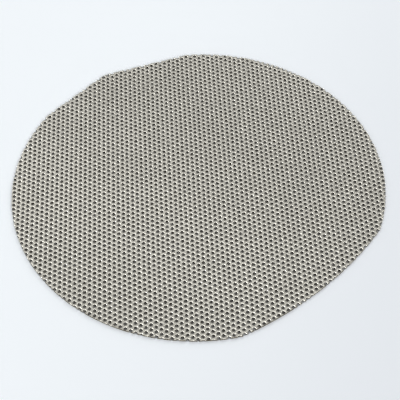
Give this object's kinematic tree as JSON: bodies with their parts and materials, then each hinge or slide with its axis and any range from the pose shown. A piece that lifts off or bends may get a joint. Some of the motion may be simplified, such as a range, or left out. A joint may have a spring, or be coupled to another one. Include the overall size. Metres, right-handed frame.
{
  "type": "sieve disc",
  "caption": "Flat round disc of thin perforated sheet steel. Staggered round holes cover it and run out through its cut rim.",
  "frame": {"origin": "centre of the round, on the plane of its underside", "axes": "+Z out of the upper face, Y along the columns of holes, X across them. The flattened stretch of the rim lies towards +X and -Y"},
  "size_m": [0.171, 0.171, 0.0006],
  "materials": {
    "steel_sheet": "dull mill finish, warm grey, brighter round the punched edges of the holes"
  },
  "bodies": {
    "root": {"sieve_plate": "steel_sheet"}
  },
  "joints": []
}
